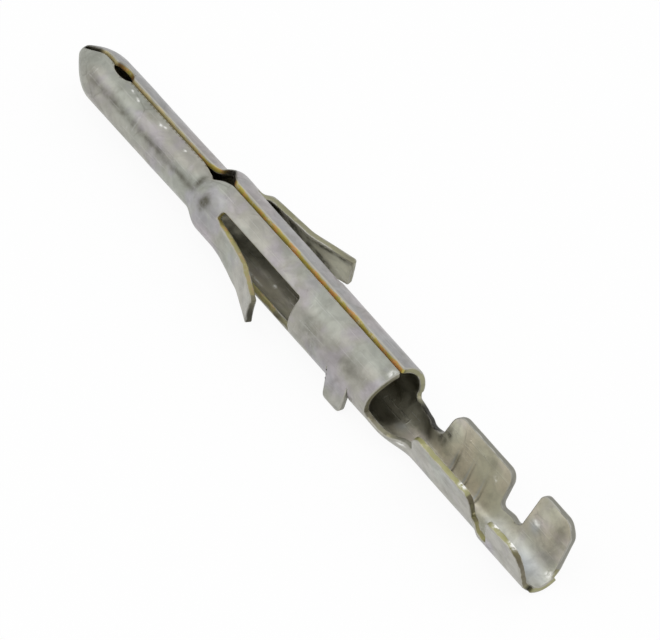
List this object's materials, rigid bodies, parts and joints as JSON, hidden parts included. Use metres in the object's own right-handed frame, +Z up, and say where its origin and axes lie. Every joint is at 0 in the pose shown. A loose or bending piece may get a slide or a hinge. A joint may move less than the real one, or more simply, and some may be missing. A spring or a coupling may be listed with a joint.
{
  "type": "crimp pin contact",
  "caption": "Folded sheet pin contact: hollow round pin with ogive nose, slotted barrel with sprung locking tangs, and open wire and insulation crimp barrels.",
  "frame": {"origin": "under the middle of the contact's length, on the plane it lies on", "axes": "+X from the nose of the pin to the insulation barrel, +Z up through the seam"},
  "size_m": [0.0224, 0.0038, 0.0021],
  "materials": {
    "contact_metal": "satin tin plate over brass, with bare brass at the sheared edges"
  },
  "bodies": {
    "root": {"crimp_contact": "contact_metal"}
  },
  "joints": []
}
